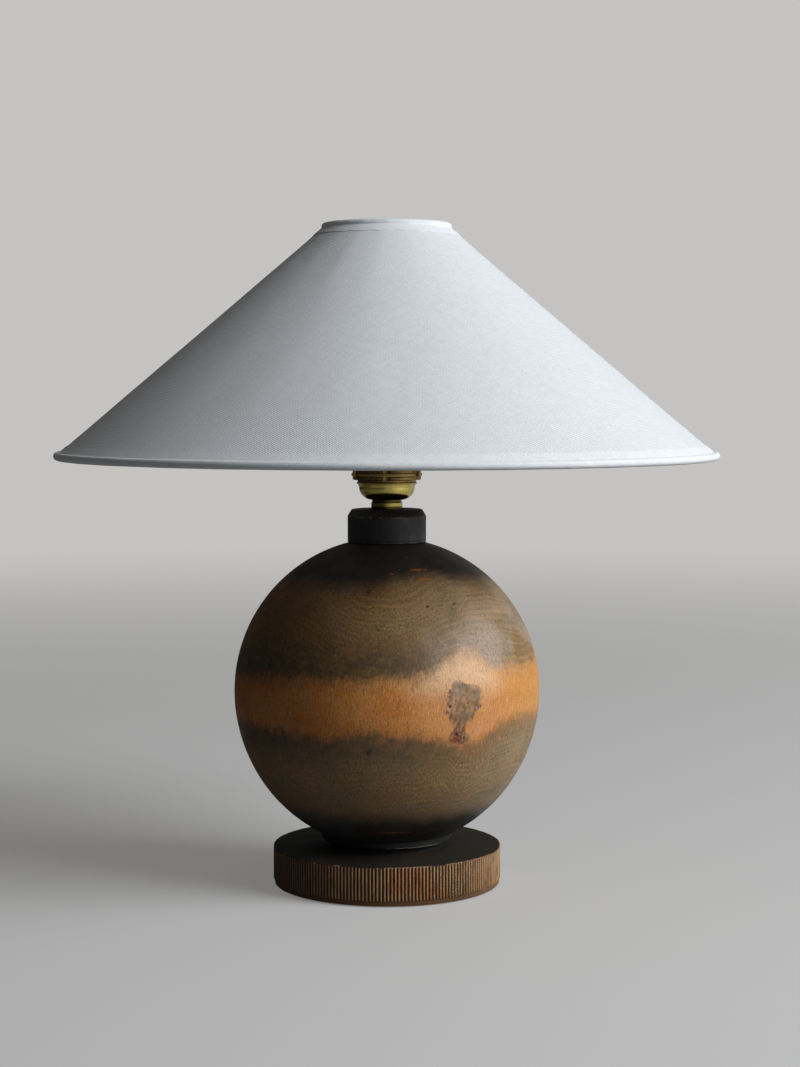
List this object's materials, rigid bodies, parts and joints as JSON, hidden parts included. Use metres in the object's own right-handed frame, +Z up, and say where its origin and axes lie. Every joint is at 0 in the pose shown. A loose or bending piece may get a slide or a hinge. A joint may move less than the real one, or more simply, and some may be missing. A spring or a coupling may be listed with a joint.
{
  "type": "table lamp",
  "caption": "Table lamp: turned wooden ball on a reeded disc, black collar, brass bayonet lampholder and a wide linen coolie shade that turns on its ring.",
  "frame": {"origin": "centre of the felt's rest face, on the surface that the lamp stands on", "axes": "+Z up the lamp's axis, -Y towards the front as pictured, +Y towards the cord inlet, +X to the right"},
  "size_m": [0.3556, 0.3556, 0.3569],
  "materials": {
    "scorched_wood": "turned pine scorched black at the poles, olive-brown between, with one raw orange band and a knot, waxed",
    "reeded_wood": "turned wood, dark top and reeded brown edge, waxed",
    "black_wood": "turned wood stained black, satin, worn arris",
    "felt": "dark green wool felt",
    "aged_brass": "aged brass, satin",
    "holder_brass": "lacquered brass, darkened in the hollows",
    "ring_brass": "tarnished brass",
    "frame_wire": "brass-lacquered steel wire",
    "zinc_steel": "zinc-plated steel",
    "block_plastic": "brown phenolic moulding",
    "linen": "off-white linen, plain weave with slubs",
    "linen_binding": "linen binding rolled over wire",
    "lining": "white styrene laminate",
    "opal_glass": "opal bulb glass, satin",
    "bulb_alloy": "bulb cap alloy",
    "black_glass": "black vitrite",
    "solder": "solder pads"
  },
  "bodies": {
    "lamp": {"base_disc": "reeded_wood", "base_felt": "felt", "cord_bush": "aged_brass", "ball_body": "scorched_wood", "neck_collar": "black_wood", "stem_tube": "zinc_steel", "stem_washer": "zinc_steel", "stem_nut": "zinc_steel", "holder_cap": "holder_brass", "cap_grub_screw": "zinc_steel", "holder_barrel": "holder_brass", "contact_block": "block_plastic", "terminal_sleeves": "aged_brass", "terminal_screws": "zinc_steel", "plunger_spring_rear": "zinc_steel", "plunger_spring_front": "zinc_steel"},
    "shade": {"fitter_ring": "frame_wire", "fitter_arm_front_right": "frame_wire", "fitter_arm_rear": "frame_wire", "fitter_arm_front_left": "frame_wire", "shade_top_wire": "frame_wire", "shade_bottom_wire": "frame_wire", "shade_cover": "linen", "shade_lining": "lining", "shade_top_trim": "linen_binding", "shade_bottom_trim": "linen_binding"},
    "lower_ring": {"lower_shade_ring": "ring_brass"},
    "upper_ring": {"upper_shade_ring": "ring_brass"},
    "bulb": {"bulb_glass": "opal_glass", "bulb_cap": "bulb_alloy", "bulb_insulator": "black_glass", "bulb_contacts": "solder", "bulb_pins": "bulb_alloy"},
    "rear_plunger": {"plunger_rear": "aged_brass"},
    "front_plunger": {"plunger_front": "aged_brass"}
  },
  "joints": [
    {"name": "shade_swivel", "type": "hinge", "parent": "lamp", "child": "shade", "pos_m": [0, 0, 0.22172], "axis": [0, 0, 1], "continuous": true},
    {"name": "lower_ring_turn", "type": "hinge", "parent": "lamp", "child": "lower_ring", "pos_m": [0, 0, 0.21842], "axis": [0, 0, 1], "continuous": true},
    {"name": "upper_ring_turn", "type": "hinge", "parent": "lamp", "child": "upper_ring", "pos_m": [0, 0, 0.22302], "axis": [0, 0, 1], "continuous": true},
    {"name": "bulb_press", "type": "slide", "parent": "lamp", "child": "bulb", "axis": [0, 0, 1], "range_m": [-0.002, 0]},
    {"name": "rear_plunger_press", "type": "slide", "parent": "lamp", "child": "rear_plunger", "axis": [0, 0, 1], "range_m": [-0.002, 0], "stiffness_N_per_m": 2000, "springref_m": 0.002, "deforming": ["plunger_spring_rear"]},
    {"name": "front_plunger_press", "type": "slide", "parent": "lamp", "child": "front_plunger", "axis": [0, 0, 1], "range_m": [-0.002, 0], "stiffness_N_per_m": 2000, "springref_m": 0.002, "deforming": ["plunger_spring_front"]}
  ],
  "couplings": [
    {"joint": "rear_plunger_press", "follows": "bulb_press", "ratio": 1},
    {"joint": "front_plunger_press", "follows": "bulb_press", "ratio": 1}
  ]
}
